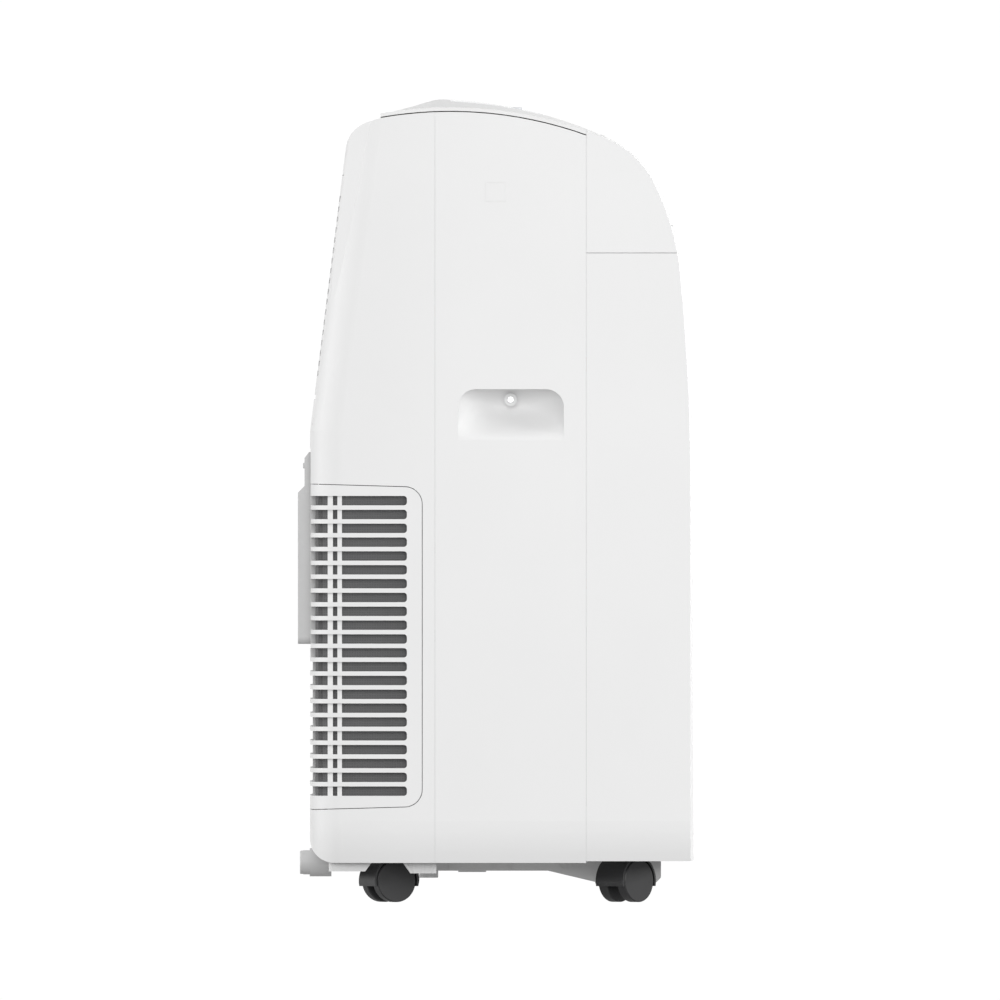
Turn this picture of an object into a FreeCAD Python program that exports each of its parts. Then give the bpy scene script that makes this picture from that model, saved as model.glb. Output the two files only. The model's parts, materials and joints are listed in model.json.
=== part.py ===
import FreeCAD, Part
import math
import os
import re
import Sketcher

# Portable air conditioner on four twin-wheel casters.
# Frame: origin on the floor at the middle of the footprint, +Z up, front towards -Y, +X to the right
# of someone who looks at the front's back, millimetres throughout.

Vector = FreeCAD.Vector
Rotation = FreeCAD.Rotation
Placement = FreeCAD.Placement

SIZES = {
    # casing
    "case_half": 178.0,
    "case_bottom": 34.5,
    "front_bottom": 36.0,
    "wall": 2.5,
    "seam": 0.12,
    "split_gap": 0.4,
    "cap_gap": 0.08,
    "panel_gap": 0.3,
    "open_gap": 0.9,
    "seam_front": -78.9,
    "seam_rear": 53.2,
    "front_split": 567.1,
    # outline over the top and down the front, on the centre line
    "crest_start_y": 100.9,
    "crest_start_z": 688.2,
    "crest_heading": 163.5,
    "crest_ramp": 46.68,
    "crest_radius": 30.0,
    "crest_sweep": 18.26,
    "crest_top_radius": 376.3,
    "crest_top_sweep": 22.48,
    "crest_brow_radius": 98.0,
    "crest_brow_sweep": 46.18,
    "crest_face_radius": 280.4,
    "crest_face_sweep": 14.0,
    "crest_front_radius": 1877.3,
    "crest_front_sweep": 5.39,
    "front_toe": 1.3,
    # the same outline along each side edge
    "edge_start_z": 688.89,
    "edge_heading": 170.1,
    "edge_top_radius": 355.0,
    "edge_ramp_sweep": 7.27,
    "edge_crest_sweep": 1.53,
    "edge_top_sweep": 23.53,
    "edge_brow_radius": 84.0,
    "edge_brow_sweep": 41.74,
    "edge_face_radius": 227.2,
    "edge_face_sweep": 20.25,
    "edge_front_radius": 1908.5,
    "edge_front_sweep": 5.59,
    # rear of the casing
    "rear_face": 163.0,
    "rear_foot_radius": 22.0,
    "rear_bend_z": 412.0,
    "rear_bend_radius": 150.0,
    "rear_top_y": 129.7,
    "rear_top_z": 675.3,
    "rear_top_radius": 28.0,
    "rear_lip_z": 685.2,
    "rear_corner": 27.0,
    "rear_crown": 2.5,
    "side_curve": 3.4,
    "facet_side_y": 107.8,
    "facet_top_z": 677.2,
    "facet_low_x": 162.0,
    "facet_low_y": 158.2,
    "facet_low_z": 432.0,
    "facet_rear_x": 138.0,
    "facet_rear_y": 131.0,
    "facet_rear_z": 662.0,
    "tuck_in": 6.0,
    "tuck_top": 71.0,
    "rim_height": 3.0,
    # louver, outlet duct and vanes
    "brow_y": -56.0,
    "brow_z": 580.3,
    "louver_half": 150.0,
    "louver_start": 200.0,
    "louver_end": 264.0,
    "louver_gap": 1.0,
    "barrel_depth": 3.5,
    "barrel_radius": 3.3,
    "pin_radius": 2.0,
    "pin_play": 0.08,
    "duct_tilt": -38.0,
    "duct_half": 143.0,
    "duct_front": -76.0,
    "duct_rear": 8.0,
    "duct_rise": 41.0,
    "vane_pitch": 46.0,
    "vane_front": -26.0,
    "vane_rear": 18.0,
    "vane_pivot": -44.0,
    "link_arm": 15.0,
    # upper blower
    "blower_out": 70.0,
    "blower_radius": 48.0,
    "blower_half": 128.0,
    # handles
    "handle_front": -59.4,
    "handle_rear": 33.1,
    "handle_top": 448.2,
    "handle_bottom": 403.6,
    "handle_depth": 28.0,
    "handle_radius": 16.0,
    "handle_deepest": 0.66,
    "handle_lip": 0.06,
    "handle_roof": 0.42,
    "handle_run_out": 0.12,
    "handle_boss": 5.5,
    "handle_screw_head": 2.5,
    "handle_screw_y": -12.9,
    "handle_screw_z": 439.1,
    "cap_front": -8.4,
    "cap_rear": 9.1,
    "cap_bottom": 612.2,
    "cap_top": 628.8,
    # control panel
    "panel_half": 92.0,
    "panel_front": -42.0,
    "panel_rear": 40.0,
    "panel_corner": 10.0,
    "display_half": 34.0,
    "display_front": 8.0,
    "display_rear": 30.0,
    "button_row": -16.0,
    "button_pitch": 34.0,
    "button_radius": 8.0,
    "button_play": 0.4,
    "button_rise": 0.3,
    # lower grille and exhaust
    "grille_front": 64.6,
    "grille_top": 362.3,
    "grille_bottom": 84.1,
    "grille_flare": 2.8,
    "grille_corner": 15.0,
    "grille_gap": 0.6,
    "slot_front": 77.7,
    "slot_pitch": 12.078,
    "slot_height": 8.2,
    "slot_first": 97.2,
    "slot_corner": 2.7,
    "notch_half": 85.0,
    "notch_bottom": 221.0,
    "notch_top": 396.4,
    "exhaust_half": 82.0,
    "exhaust_bottom": 225.4,
    "exhaust_collar_top": 357.8,
    "exhaust_top": 393.4,
    "exhaust_face": 173.3,
    "exhaust_plate": 167.5,
    "exhaust_seat": 158.5,
    "exhaust_bore": 62.0,
    "exhaust_z": 291.6,
    # upper grille
    "filter_half": 122.0,
    "filter_bottom": 440.0,
    "filter_top": 636.0,
    "filter_slot_half": 108.0,
    "filter_slot_pitch": 9.0,
    "filter_slot_height": 4.6,
    # base
    "floor_z": 50.0,
    "base_half": 165.0,
    "base_front": -158.0,
    "base_rear": 146.0,
    "base_rim": 84.0,
    "sled_half": 88.0,
    "sled_bottom": 27.0,
    "sled_wall": 3.0,
    "skirt_inner": 160.0,
    "skirt_outer": 162.5,
    "skirt_front": 52.0,
    "skirt_low": 25.3,
    "skirt_corner": 4.5,
    "notch_y": 94.9,
    "notch_foot": 19.2,
    "notch_head": 9.8,
    "notch_rise": 40.0,
    "rib_relief": 1.2,
    "rib_half": 0.9,
    "drain_x": -60.0,
    "drain_z": 34.2,
    "drain_radius": 10.65,
    "drain_collar": 12.4,
    "drain_end": 168.6,
    "drain_face": 171.6,
    # cord gland
    "gland_radius": 11.0,
    "gland_neck": 7.8,
    "cord_radius": 3.6,
    # casters
    "caster_x": 129.0,
    "caster_front_y": -113.6,
    "caster_rear_y": 93.6,
    "caster_front_yaw": 47.0,
    "caster_rear_yaw": 26.0,
    "caster_trail": 8.0,
    "caster_top": 44.0,
    "wheel_radius": 18.5,
    "wheel_width": 10.0,
    "wheel_inner": 6.2,
    "wheel_cap": 2.0,
    "wheel_edge": 0.8,
    "axle_radius": 3.0,
    "axle_play": 0.08,
    "hood_radius": 21.4,
    "hood_inner": 19.6,
    "hood_half": 16.1,
    "hood_edge": 13.9,
    "web_half": 2.6,
    "boss_radius": 7.5,
    "stem_radius": 4.0,
    "stem_play": 0.06,
}

PARTS = []

doc = FreeCAD.newDocument("portable_air_conditioner")
sheet = doc.addObject("Spreadsheet::Sheet", "Dimensions")
for row, (alias, value) in enumerate(SIZES.items(), 1):
    sheet.set("A%d" % row, alias)
    sheet.set("B%d" % row, str(value))
    sheet.setAlias("B%d" % row, alias)
doc.recompute()


# ---------------------------------------------------------------- formulas and primitives

def formula(text):
    """The text as a sheet formula: every word that names a size points at its cell."""
    def cell(word):
        return "Dimensions." + word.group() if word.group() in SIZES else word.group()
    return re.sub(r"[a-z_]+", cell, str(text))


def size(text):
    """The value in millimetres or degrees of a formula."""
    return float(sheet.evalExpression(formula(text)))


def bind(item, prop, text):
    item.setExpression(prop, formula(text))


def minus(text):
    return "-(%s)" % text


def box(x, y, z, name="Block"):
    """A block between the low and high limits in x, y and z, each a pair of formulas."""
    item = doc.addObject("Part::Box", name)
    for prop, letter, (low, high) in zip(("Length", "Width", "Height"), "xyz", (x, y, z)):
        bind(item, prop, "(%s) - (%s)" % (high, low))
        bind(item, "Placement.Base." + letter, low)
    return item


AXIS_TURNS = {
    "x": Rotation(Vector(0, 1, 0), 90),
    "y": Rotation(Vector(1, 0, 0), -90),
    "z": Rotation(),
}


def rod(axis, radius, span, centre, name="Rod"):
    """A round bar along x, y or z; centre gives its other two coordinates in order."""
    item = doc.addObject("Part::Cylinder", name)
    bind(item, "Radius", radius)
    bind(item, "Height", "(%s) - (%s)" % (span[1], span[0]))
    item.Placement = Placement(Vector(), AXIS_TURNS[axis])
    others = iter(centre)
    for letter in "xyz":
        bind(item, "Placement.Base." + letter, span[0] if letter == axis else next(others))
    return item


def cone(axis, radii, span, centre, name="Cone"):
    """A round bar that tapers from the first radius to the second."""
    item = doc.addObject("Part::Cone", name)
    bind(item, "Radius1", radii[0])
    bind(item, "Radius2", radii[1])
    bind(item, "Height", "(%s) - (%s)" % (span[1], span[0]))
    item.Placement = Placement(Vector(), AXIS_TURNS[axis])
    others = iter(centre)
    for letter in "xyz":
        bind(item, "Placement.Base." + letter, span[0] if letter == axis else next(others))
    return item


def fuse(*items):
    if len(items) == 1:
        return items[0]
    result = doc.addObject("Part::MultiFuse", "Fusion")
    result.Shapes = list(items)
    return result


def cut(base, *tools):
    result = doc.addObject("Part::Cut", "Cut")
    result.Base = base
    result.Tool = fuse(*tools)
    return result


def common(first, second):
    result = doc.addObject("Part::Common", "Common")
    result.Base = first
    result.Tool = second
    return result


def mirrored(item):
    """The same piece on the other side of the machine's middle plane."""
    result = doc.addObject("Part::Mirroring", "Mirror")
    result.Source = item
    result.Normal = Vector(1, 0, 0)
    return result


def free_form(shape, name="Form"):
    """A shape that no feature makes directly, such as the crowned casing."""
    item = doc.addObject("Part::Feature", name)
    item.Shape = shape
    return item


def rounded(item, radius, wanted):
    """Fillet the edges that the test picks."""
    doc.recompute()
    result = doc.addObject("Part::Fillet", "Rounded")
    result.Base = item
    picked = [number for number, edge in enumerate(item.Shape.Edges, 1) if wanted(edge)]
    result.Edges = [(number, size(radius), size(radius)) for number in picked]
    return result


def runs_along(letter):
    """A test for straight edges parallel to an axis."""
    axis = {"x": Vector(1, 0, 0), "y": Vector(0, 1, 0), "z": Vector(0, 0, 1)}[letter]

    def test(edge):
        if edge.Curve.TypeId != "Part::GeomLine":
            return False
        return abs(abs(edge.Curve.Direction.dot(axis)) - 1) < 1e-6
    return test


def part(name, item):
    """Name a finished sub-part and list it for export."""
    item.Label = name
    PARTS.append(item)
    return item


# ---------------------------------------------------------------- sketched bodies

def body(name="Body"):
    return doc.addObject("PartDesign::Body", name)


def sketch(item, plane, offset="0"):
    drawing = item.newObject("Sketcher::SketchObject", "Sketch")
    base = next(ref for ref in item.Origin.OriginFeatures if ref.Role == plane)
    drawing.AttachmentSupport = [(base, "")]
    drawing.MapMode = "FlatFace"
    bind(drawing, "AttachmentOffset.Base.z", offset)
    return drawing


def pin_point(drawing, geometry, point, across, up):
    """Hold one sketch point at its two formula coordinates."""
    for kind, text in (("DistanceX", across), ("DistanceY", up)):
        number = drawing.addConstraint(Sketcher.Constraint(kind, geometry, point, size(text)))
        drawing.setExpression("Constraints[%d]" % number, formula(text))


def polygon(drawing, *corners):
    """A closed outline of straight lines through corners given as pairs of formulas."""
    first = drawing.GeometryCount
    spots = [Vector(size(across), size(up), 0) for across, up in corners]
    count = len(spots)
    for number in range(count):
        drawing.addGeometry(Part.LineSegment(spots[number], spots[(number + 1) % count]))
    for number in range(count):
        joined = first + (number + 1) % count
        drawing.addConstraint(Sketcher.Constraint("Coincident", first + number, 2, joined, 1))
    for number, (across, up) in enumerate(corners):
        pin_point(drawing, first + number, 1, across, up)


def rectangle(drawing, across, up):
    """A rectangle between two limits each way."""
    polygon(drawing, (across[0], up[0]), (across[1], up[0]), (across[1], up[1]), (across[0], up[1]))


def circle(drawing, radius, across="0", up="0"):
    shape = Part.Circle(Vector(size(across), size(up), 0), Vector(0, 0, 1), size(radius))
    number = drawing.addGeometry(shape)
    pin_point(drawing, number, 3, across, up)
    held = drawing.addConstraint(Sketcher.Constraint("Radius", number, size(radius)))
    drawing.setExpression("Constraints[%d]" % held, formula(radius))


def pad(item, drawing, length, both_ways=False, backwards=False):
    feature = item.newObject("PartDesign::Pad", "Pad")
    feature.Profile = drawing
    bind(feature, "Length", length)
    feature.Midplane = both_ways
    feature.Reversed = backwards
    drawing.Visibility = False
    return feature


def pocket(item, drawing, length, both_ways=False, backwards=False):
    feature = item.newObject("PartDesign::Pocket", "Pocket")
    feature.Profile = drawing
    bind(feature, "Length", length)
    feature.Midplane = both_ways
    feature.Reversed = backwards
    return feature


def revolution(item, drawing, axis):
    feature = item.newObject("PartDesign::Revolution", "Revolution")
    feature.Profile = drawing
    feature.ReferenceAxis = (drawing, [axis])
    feature.Angle = 360.0
    return feature


def round_off(item, radius, wanted):
    """Fillet the edges of the body's latest solid that the test picks."""
    doc.recompute()
    tip = item.Tip
    names = ["Edge%d" % n for n, edge in enumerate(tip.Shape.Edges, 1) if wanted(edge)]
    feature = item.newObject("PartDesign::Fillet", "Fillet")
    feature.Base = (tip, names)
    bind(feature, "Radius", radius)
    return feature


def in_duct_frame(item):
    """Stand a piece built square into the tilted frame of the outlet duct."""
    item.Placement = Placement(Vector(), Rotation(Vector(1, 0, 0), size("duct_tilt")))
    bind(item, "Placement.Base.y", "brow_y")
    bind(item, "Placement.Base.z", "brow_z")
    return item


# ---------------------------------------------------------------- casing forms

def outline(x, start, heading, steps, inset):
    """Edges of a chain of lines and left-hand arcs in the plane x, moved in by inset."""
    angle = math.radians(heading)
    y = start[0] - inset * math.sin(angle)
    z = start[1] + inset * math.cos(angle)
    edges = []
    for radius, amount in steps:
        if radius is None:
            ahead = (y + amount * math.cos(angle), z + amount * math.sin(angle))
            edges.append(Part.makeLine(Vector(x, y, z), Vector(x, *ahead)))
            y, z = ahead
            continue
        reach = radius - inset
        centre_y = y - reach * math.sin(angle)
        centre_z = z + reach * math.cos(angle)
        spots = []
        for share in (0.0, 0.5, 1.0):
            turn = angle + math.radians(amount) * share
            spots.append(Vector(x, centre_y + reach * math.sin(turn), centre_z - reach * math.cos(turn)))
        edges.append(Part.Arc(*spots).toShape())
        angle += math.radians(amount)
        y, z = spots[2].y, spots[2].z
    return edges


def centre_outline(x, inset):
    steps = [(None, size("crest_ramp"))]
    for name in ("crest", "crest_top", "crest_brow", "crest_face", "crest_front"):
        steps.append((size(name + "_radius"), size(name + "_sweep")))
    start = (size("crest_start_y"), size("crest_start_z"))
    return outline(x, start, size("crest_heading"), steps, inset)


def edge_outline(x, inset):
    top = size("edge_top_radius")
    steps = [(top, size("edge_ramp_sweep")), (top, size("edge_crest_sweep"))]
    for name in ("edge_top", "edge_brow", "edge_face", "edge_front"):
        steps.append((size(name + "_radius"), size(name + "_sweep")))
    start = (size("crest_start_y"), size("edge_start_z"))
    return outline(x, start, size("edge_heading"), steps, inset)


def closed(edges, *corners):
    """A wire of the edges, closed by straight lines through the corners."""
    spots = [edges[-1].valueAt(edges[-1].LastParameter)]
    spots += corners
    spots.append(edges[0].valueAt(edges[0].FirstParameter))
    lines = [Part.makeLine(one, two) for one, two in zip(spots, spots[1:])]
    return Part.Wire(Part.__sortEdges__(edges + lines))


def rounded_outline(corners):
    """A closed wire through (point, radius) corners, rounded where the radius isn't zero."""
    edges = []
    ends = []
    count = len(corners)
    for number, (point, radius) in enumerate(corners):
        back = (corners[number - 1][0] - point).normalize()
        ahead = (corners[(number + 1) % count][0] - point).normalize()
        half = back.getAngle(ahead) / 2
        reach = radius / math.tan(half) if radius else 0.0
        ends.append((point + back * reach, point + ahead * reach))
        if radius:
            middle = (back + ahead).normalize()
            top = point + middle * (radius / math.sin(half) - radius)
            edges.append(Part.Arc(ends[-1][0], top, ends[-1][1]).toShape())
    for number in range(count):
        one = ends[number][1]
        two = ends[(number + 1) % count][0]
        if one.distanceToPoint(two) > 1e-6:
            edges.append(Part.makeLine(one, two))
    return Part.Wire(Part.__sortEdges__(edges))


def extruded(wire, inset, along):
    """A wire moved in by inset and extruded."""
    if inset:
        wire = wire.makeOffset2D(-inset)
    return Part.Face(wire).extrude(along)


def crowned_front(inset):
    """Top and front of the casing: crowned between the centre line and both side edges."""
    half = size("case_half") - inset
    wires = []
    for x, edges, toe in ((-half, edge_outline(-half, inset), 0.0),
                          (0.0, centre_outline(0.0, inset), size("front_toe")),
                          (half, edge_outline(half, inset), 0.0)):
        front = edges[-1].valueAt(edges[-1].LastParameter).y - toe
        rear = edges[0].valueAt(edges[0].FirstParameter).y
        wires.append(closed(edges, Vector(x, front, 0), Vector(x, rear, 0)))
    return Part.makeLoft(wires, True)


def rear_block(inset):
    """Rear of the casing in side view: foot curve, upright wall, slope and shoulder."""
    left = -size("case_half + 10")
    inside = size("seam_rear")
    corners = [
        (Vector(left, inside, size("case_bottom")), 0),
        (Vector(left, size("rear_face"), size("case_bottom")), size("rear_foot_radius")),
        (Vector(left, size("rear_face"), size("rear_bend_z")), size("rear_bend_radius")),
        (Vector(left, size("rear_top_y"), size("rear_top_z")), size("rear_top_radius")),
        (Vector(left, size("crest_start_y"), size("rear_lip_z")), 0),
        (Vector(left, inside, size("rear_lip_z")), 0),
    ]
    return extruded(rounded_outline(corners), inset, Vector(-2 * left, 0, 0))


def plan_outline(inset, tuck, z):
    """Plan of the casing: flat sides that curve in to round rear corners."""
    half = size("case_half") - tuck
    start = size("seam_rear")
    corner = size("rear_corner")
    rear = size("rear_face")
    turn = rear - size("rear_crown") - corner
    narrow = half - size("side_curve")
    middle = narrow + size("side_curve") * 0.75
    slant = corner * (1 - math.sqrt(0.5))
    front = -250.0
    edges = [Part.makeLine(Vector(-half, front, z), Vector(half, front, z))]
    for side in (1, -1):
        straight = [Vector(side * half, front, z), Vector(side * half, start, z)]
        inward = [Vector(side * middle, (start + turn) / 2, z), Vector(side * narrow, turn, z)]
        around = [Vector(side * (narrow - slant), turn + corner - slant, z),
                  Vector(side * (narrow - corner), turn + corner, z)]
        edges.append(Part.makeLine(*straight))
        edges.append(Part.Arc(straight[1], inward[0], inward[1]).toShape())
        edges.append(Part.Arc(inward[1], around[0], around[1]).toShape())
    ends = [Vector(side * (narrow - corner), turn + corner, z) for side in (1, -1)]
    edges.append(Part.Arc(ends[0], Vector(0, rear, z), ends[1]).toShape())
    wire = Part.Wire(Part.__sortEdges__(edges))
    return wire.makeOffset2D(-inset) if inset else wire


def plan_block(inset):
    """The casing's plan over its height: turned in at the bottom, sloped above the rear bend."""
    knee = size("tuck_top")
    foot = size("case_bottom") - 2 * inset
    levels = []
    for z in (foot, (foot + knee) / 2, knee):
        share = (knee - z) / size("tuck_top - case_bottom")
        levels.append(plan_outline(inset, size("tuck_in") * share ** 2, z))
    low = Part.makeLoft(levels, True)
    bend = size("rear_bend_z")
    middle = Part.Face(levels[-1]).extrude(Vector(0, 0, bend - knee))
    lean = Vector(0, size("rear_top_y - rear_face"), size("rear_top_z - rear_bend_z")) * 1.2
    high = Part.Face(plan_outline(inset, 0.0, bend)).extrude(lean)
    return low.fuse(middle).fuse(high)


def facets(inset):
    """The two wedges that a flat facet takes off the upper rear corners."""
    wedges = []
    for side in (1, -1):
        high = Vector(side * size("case_half"), size("facet_side_y"), size("facet_top_z"))
        low = Vector(side * size("facet_low_x"), size("facet_low_y"), size("facet_low_z"))
        rear = Vector(side * size("facet_rear_x"), size("facet_rear_y"), size("facet_rear_z"))
        across = (rear - high).normalize()
        down = (low - high).normalize()
        normal = across.cross(down).normalize() * side
        if normal.y < 0:
            normal = normal * -1
        reach = 400.0
        spots = [high - down * reach - across * reach, high - down * reach + across * reach,
                 low + down * 100 + across * reach, low + down * 100 - across * reach]
        spots = [spot - normal * inset for spot in spots]
        face = Part.Face(Part.makePolygon(spots + spots[:1]))
        wedges.append(face.extrude(normal * 200))
    return wedges


def casing_form(inset):
    """The solid inside the casing's skin, moved in by inset and open below."""
    form = crowned_front(inset).fuse(rear_block(inset))
    if inset:
        front = -140.0
        deep = size("rear_face - rear_foot_radius") - front
        high = size("case_bottom") + 2 * inset
        form = form.fuse(Part.makeBox(400, deep, high, Vector(-200, front, 0)))
    form = form.common(plan_block(inset))
    return form.cut(facets(inset)[0]).cut(facets(inset)[1])


outer_form = free_form(casing_form(0.0), "OuterForm")
inner_form = free_form(casing_form(size("wall")), "InnerForm")
shell = cut(outer_form, inner_form)

WIDE = ("-case_half - 20", "case_half + 20")
DEEP = ("-250", "250")
TALL = ("0", "800")


def grown(limits, amount):
    """Limits moved apart by an amount at each end."""
    return ("(%s) - (%s)" % (limits[0], amount), "(%s) + (%s)" % (limits[1], amount))


def either_side(half):
    return (minus(half), half)


def around(middle, half):
    return ("(%s) - (%s)" % (middle, half), "(%s) + (%s)" % (middle, half))


def skin_between(depth, deeper):
    """A sheet that follows the casing's inside between two depths."""
    return cut(free_form(casing_form(size(depth))), free_form(casing_form(size(deeper))))


def above_side_edge(depth):
    """Everything above the outline of the side edges, lowered by a depth."""
    left = -200.0
    edges = edge_outline(left, size(depth))
    first = edges[0].valueAt(edges[0].FirstParameter)
    last = edges[-1].valueAt(edges[-1].LastParameter)
    rear = size("crest_start_y") + 0.5
    wire = closed(edges, Vector(left, -250, last.z), Vector(left, -250, 800), Vector(left, rear, 800),
                  Vector(left, rear, first.z))
    return free_form(Part.Face(wire).extrude(Vector(400, 0, 0)), "AboveEdge")


def top_height(x, y):
    """Height of the casing's outer surface over a point of the plan."""
    line = Part.makeLine(Vector(x, y, 600), Vector(x, y, 800))
    return line.common(outer_form.Shape).BoundBox.ZMax


# ---------------------------------------------------------------- top cover and control panel

panel_x = either_side("panel_half")
panel_y = ("panel_front", "panel_rear")
display_x = either_side("display_half")
display_y = ("display_front", "display_rear")
BUTTONS = ("power", "mode", "fan", "down", "up")


def panel_block(x, y, inset):
    block = box(grown(x, minus(inset)), grown(y, minus(inset)), ("600", "800"))
    return rounded(block, "panel_corner" if x is panel_x else "pin_radius", runs_along("z"))


def button_x(number):
    return "button_pitch * %d" % (number - 2)


def top_cover():
    reach = box(WIDE, ("seam_front + seam / 2", "120"), ("500", "800"))
    space = common(above_side_edge("rim_height"), reach)
    return cut(common(shell, space), panel_block(panel_x, panel_y, "0"))


def control_panel():
    plate = common(shell, panel_block(panel_x, panel_y, "panel_gap"))
    holes = [panel_block(display_x, display_y, "0")]
    for number in range(len(BUTTONS)):
        spot = (button_x(number), "button_row")
        holes.append(rod("z", "button_radius + button_play", ("600", "800"), spot))
    return cut(plate, *holes)


def display_window():
    return common(shell, panel_block(display_x, display_y, "panel_gap"))


def button(number):
    """A round push button that stands almost level with the crowned panel."""
    top = top_height(size(button_x(number)), size("button_row")) + size("button_rise")
    item = body()
    drawing = sketch(item, "XY_Plane")
    circle(drawing, "button_radius")
    pad(item, drawing, "12")
    drawing = sketch(item, "XY_Plane")
    circle(drawing, "pin_radius")
    pad(item, drawing, "4.4", backwards=True)
    round_off(item, "1", lambda edge: edge.BoundBox.ZMin > 11.9)
    bind(item, "Placement.Base.x", button_x(number))
    bind(item, "Placement.Base.y", "button_row")
    item.Placement.Base.z = top - 12
    return item


def control_board():
    """Circuit board under the panel with a switch below each button."""
    board = box(either_side("panel_half - 8"), ("panel_front + 4", "panel_rear - 4"), ("672", "673.6"))
    switches = [box(around(button_x(n), "3"), around("button_row", "3"), ("673.6", "676"))
                for n in range(len(BUTTONS))]
    chips = [
        box(("-60", "-48"), ("10", "22"), ("673.6", "675.6")),
        box(("40", "66"), ("6", "12"), ("673.6", "676")),
    ]
    light = box(either_side("display_half - 4"), ("display_front + 2", "display_rear - 2"), ("673.6", "682"))
    return fuse(board, light, *(switches + chips))


part("top_cover", top_cover())
part("control_panel", control_panel())
part("display_window", display_window())
doc.recompute()
for number, name in enumerate(BUTTONS):
    part("button_" + name, button(number))
part("control_board", control_board())


# ---------------------------------------------------------------- side panels, handles and caps

def bowl_depth(across, up):
    """Depth of the handle bowl, as a share of its deepest, at shares of its width and height."""
    lip = size("handle_lip")
    walls = lip + (1 - lip) * (1 - abs(2 * across - 1) ** 3)
    share = up / size("handle_deepest")
    if share < 0:
        return walls * size("handle_run_out") * share
    if share < 1:
        smooth = share * share * (3 - 2 * share)
        return walls * (size("handle_run_out") * share * (1 - smooth) + smooth)
    roof = (up - size("handle_deepest")) / (1 - size("handle_deepest"))
    return walls * (1 - size("handle_roof") * roof ** 2.5)


def scoop(grow):
    """Bowl of a carrying handle: deepest near its upper edge, running out flush below."""
    half = size("case_half")
    top = size("handle_top") + grow
    bottom = size("handle_bottom") - grow
    front = size("handle_front") - grow
    rear = size("handle_rear") + grow
    margin = 3.0
    steps = 16
    rows = []
    for row in range(steps + 1):
        y = front - margin + (rear - front + 2 * margin) * row / steps
        line = []
        for column in range(steps + 1):
            z = bottom - margin + (top - bottom + 2 * margin) * column / steps
            share = bowl_depth((y - front) / (rear - front), (z - bottom) / (top - bottom))
            line.append(Vector(half - share * (size("handle_depth") + grow), y, z))
        rows.append(line)
    surface = Part.BSplineSurface()
    surface.interpolate(rows)
    corner = size("handle_radius") + grow
    low = bottom - margin / 2
    face = rounded_outline([(Vector(0, front, low), 0), (Vector(0, rear, low), 0),
                            (Vector(0, rear, top), corner), (Vector(0, front, top), corner)])
    outline_view = Part.Face(face).extrude(Vector(400, 0, 0))
    return free_form(surface.toShape().extrude(Vector(60, 0, 0)).common(outline_view), "Scoop")


def right_side_panel():
    reach = box(("20", "200"), ("seam_front + seam / 2", "seam_rear - seam / 2"), TALL)
    above = common(above_side_edge("rim_height + open_gap"), box(WIDE, DEEP, ("500", "800")))
    panel = cut(common(shell, reach), above)
    cup = cut(common(scoop(size("wall")), outer_form), scoop(0.0))
    boss_x = ("case_half - handle_depth - 1", "case_half - handle_depth + 9")
    boss = rod("x", "handle_boss", boss_x, ("handle_screw_y", "handle_screw_z"))
    window = box(("150", "200"), ("cap_front", "cap_rear"), ("cap_bottom", "cap_top"))
    screw_hole = rod("x", "1.9", ("140", "200"), ("handle_screw_y", "handle_screw_z"))
    return cut(fuse(cut(panel, scoop(size("wall"))), cup, boss), window, screw_hole)


def handle_screw():
    centre = ("handle_screw_y", "handle_screw_z")
    depths = ("case_half - handle_depth + 9", "case_half - handle_depth + 11")
    head = rod("x", "handle_screw_head", depths, centre)
    shank = rod("x", "1.6", ("case_half - handle_depth - 4", "case_half - handle_depth + 9"), centre)
    return fuse(head, shank)


def snap_cap():
    """Square cap that closes an opening flush with the side."""
    y = grown(("cap_front", "cap_rear"), "-cap_gap")
    z = grown(("cap_bottom", "cap_top"), "-cap_gap")
    plate = box(("case_half - wall", "case_half"), y, z)
    return fuse(plate, box(("case_half - wall - 3", "case_half - wall"), grown(y, "-3"), grown(z, "-3")))


def pair(item):
    return fuse(item, mirrored(item))


right_side = right_side_panel()
part("right_side_panel", right_side)
part("left_side_panel", mirrored(right_side))
part("handle_screws", pair(handle_screw()))
part("snap_caps", pair(snap_cap()))


# ---------------------------------------------------------------- front and louver

def polar(heading, reach):
    """The y and z of a point about the brow's axis."""
    angle = math.radians(heading)
    return size("brow_y") + reach * math.sin(angle), size("brow_z") - reach * math.cos(angle)


def sector(start, end, half):
    """A wedge about the brow's axis between two headings."""
    left = -half
    apex = Vector(left, size("brow_y"), size("brow_z"))
    one = Vector(left, *polar(start, 170.0))
    two = Vector(left, *polar(end, 170.0))
    face = Part.Face(Part.makePolygon([apex, one, two, apex]))
    return free_form(face.extrude(Vector(2 * half, 0, 0)), "Sector")


hinge_heading = size("louver_start") + math.degrees(size("barrel_radius + louver_gap") / 94.5)
hinge_y, hinge_z = polar(hinge_heading, size("crest_brow_radius - barrel_depth"))


def ear(x, y, z, reach):
    """A block inside the skin that carries a hinge pin."""
    block = common(box(x, around(y, reach), around(z, reach)), outer_form)
    return cut(block, rod("x", "pin_radius + pin_play", x, (y, z)))


def upper_front_frame():
    reach = box(WIDE, ("-250", "seam_front - seam / 2"), ("front_split + split_gap / 2", "800"))
    opening = sector(size("louver_start"), size("louver_end"), size("louver_half"))
    right = ear(("louver_half + 0.01", "louver_half + 7"), hinge_y, hinge_z, "5.5")
    hole = rod("x", "pin_radius + pin_play", either_side("louver_half + 8"), (hinge_y, hinge_z))
    return cut(fuse(cut(common(shell, reach), opening), right, mirrored(right)), hole)


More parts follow.
